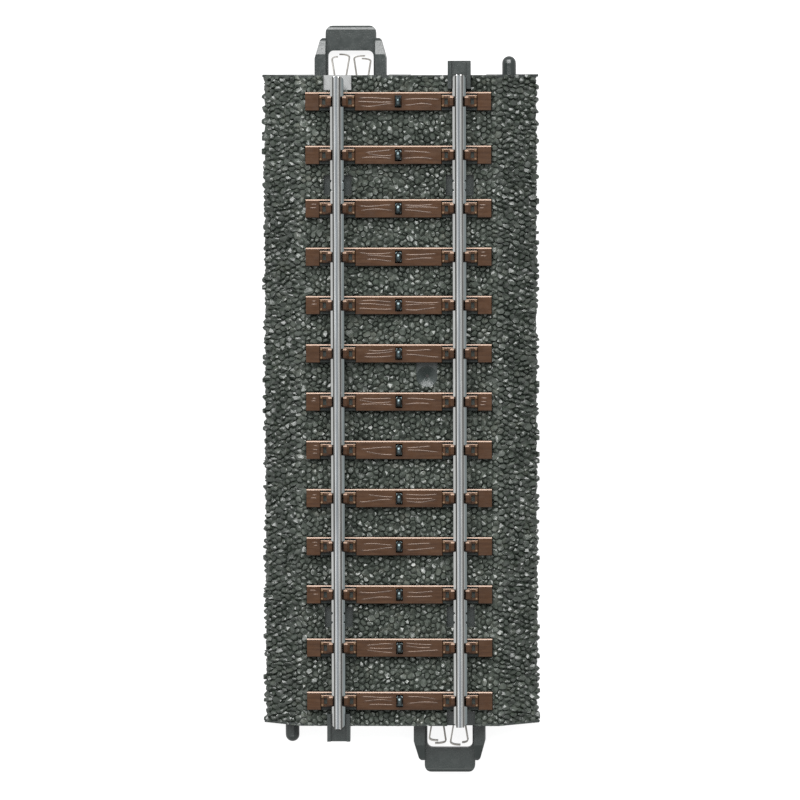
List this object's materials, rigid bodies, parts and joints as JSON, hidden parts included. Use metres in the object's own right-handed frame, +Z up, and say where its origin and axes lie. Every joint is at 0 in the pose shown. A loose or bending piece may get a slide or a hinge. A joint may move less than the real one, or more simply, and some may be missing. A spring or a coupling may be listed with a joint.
{
  "type": "model railway track section",
  "caption": "Straight model railway section: ballast roadbed, sleepers, two rails, a row of contact studs, and spring contacts with a snap hoop at each end.",
  "frame": {"origin": "on the table, under the middle of the section", "axes": "+Y along the rails towards the north end, +X to the right of the rails seen from above, +Z up"},
  "size_m": [0.04, 0.1084, 0.0103],
  "materials": {
    "ballast_plastic": "moulded stone texture, dark grey-green, slightly shiny stones",
    "coupling_plastic": "smooth moulded, dark grey-green, satin",
    "sleeper_plastic": "wood-grain relief, brown, satin",
    "rail_steel": "drawn along its length, bright",
    "stud_metal": "blackened",
    "spring_metal": "bright spring strip"
  },
  "bodies": {
    "root": {"roadbed": "ballast_plastic", "sleeper_01": "sleeper_plastic", "sleeper_02": "sleeper_plastic", "sleeper_03": "sleeper_plastic", "sleeper_04": "sleeper_plastic", "sleeper_05": "sleeper_plastic", "sleeper_06": "sleeper_plastic", "sleeper_07": "sleeper_plastic", "sleeper_08": "sleeper_plastic", "sleeper_09": "sleeper_plastic", "sleeper_10": "sleeper_plastic", "sleeper_11": "sleeper_plastic", "sleeper_12": "sleeper_plastic", "sleeper_13": "sleeper_plastic", "rail_left": "rail_steel", "rail_right": "rail_steel", "stud_strip": "stud_metal", "rail_plug_base_north": "spring_metal", "centre_plug_base_north": "spring_metal", "rail_socket_north": "spring_metal", "centre_socket_north": "spring_metal", "rail_link_north": "spring_metal", "rail_plug_base_south": "spring_metal", "centre_plug_base_south": "spring_metal", "rail_socket_south": "spring_metal", "centre_socket_south": "spring_metal", "rail_link_south": "spring_metal"},
    "latch_hoop_north": {"latch_hoop_north": "coupling_plastic"},
    "rail_contact_outer_north": {"rail_contact_outer_north": "spring_metal"},
    "rail_contact_inner_north": {"rail_contact_inner_north": "spring_metal"},
    "centre_contact_outer_north": {"centre_contact_outer_north": "spring_metal"},
    "centre_contact_inner_north": {"centre_contact_inner_north": "spring_metal"},
    "latch_hoop_south": {"latch_hoop_south": "coupling_plastic"},
    "rail_contact_outer_south": {"rail_contact_outer_south": "spring_metal"},
    "rail_contact_inner_south": {"rail_contact_inner_south": "spring_metal"},
    "centre_contact_outer_south": {"centre_contact_outer_south": "spring_metal"},
    "centre_contact_inner_south": {"centre_contact_inner_south": "spring_metal"}
  },
  "joints": [
    {"name": "hoop_flex_north", "type": "hinge", "parent": "root", "child": "latch_hoop_north", "pos_m": [-0.00705, 0.0441, 0.0025], "axis": [-1, 0, 0], "range_deg": [0, 4.5]},
    {"name": "rail_squeeze_outer_north", "type": "hinge", "parent": "root", "child": "rail_contact_outer_north", "pos_m": [-0.00936, 0.0446, 0.0028], "axis": [0, 0, -1], "range_deg": [0, 4]},
    {"name": "rail_squeeze_inner_north", "type": "hinge", "parent": "root", "child": "rail_contact_inner_north", "pos_m": [-0.00764, 0.0446, 0.0028], "axis": [0, 0, 1], "range_deg": [0, 4]},
    {"name": "centre_squeeze_outer_north", "type": "hinge", "parent": "root", "child": "centre_contact_outer_north", "pos_m": [-0.00617, 0.0446, 0.0028], "axis": [0, 0, -1], "range_deg": [0, 4]},
    {"name": "centre_squeeze_inner_north", "type": "hinge", "parent": "root", "child": "centre_contact_inner_north", "pos_m": [-0.00445, 0.0446, 0.0028], "axis": [0, 0, 1], "range_deg": [0, 4]},
    {"name": "hoop_flex_south", "type": "hinge", "parent": "root", "child": "latch_hoop_south", "pos_m": [0.00705, -0.0441, 0.0025], "axis": [1, 0, 0], "range_deg": [0, 4.5]},
    {"name": "rail_squeeze_outer_south", "type": "hinge", "parent": "root", "child": "rail_contact_outer_south", "pos_m": [0.00936, -0.0446, 0.0028], "axis": [0, 0, -1], "range_deg": [0, 4]},
    {"name": "rail_squeeze_inner_south", "type": "hinge", "parent": "root", "child": "rail_contact_inner_south", "pos_m": [0.00764, -0.0446, 0.0028], "axis": [0, 0, 1], "range_deg": [0, 4]},
    {"name": "centre_squeeze_outer_south", "type": "hinge", "parent": "root", "child": "centre_contact_outer_south", "pos_m": [0.00617, -0.0446, 0.0028], "axis": [0, 0, -1], "range_deg": [0, 4]},
    {"name": "centre_squeeze_inner_south", "type": "hinge", "parent": "root", "child": "centre_contact_inner_south", "pos_m": [0.00445, -0.0446, 0.0028], "axis": [0, 0, 1], "range_deg": [0, 4]}
  ],
  "couplings": [
    {"joint": "rail_squeeze_inner_north", "follows": "rail_squeeze_outer_north", "ratio": 1},
    {"joint": "centre_squeeze_inner_north", "follows": "centre_squeeze_outer_north", "ratio": 1},
    {"joint": "rail_squeeze_inner_south", "follows": "rail_squeeze_outer_south", "ratio": 1},
    {"joint": "centre_squeeze_inner_south", "follows": "centre_squeeze_outer_south", "ratio": 1}
  ]
}
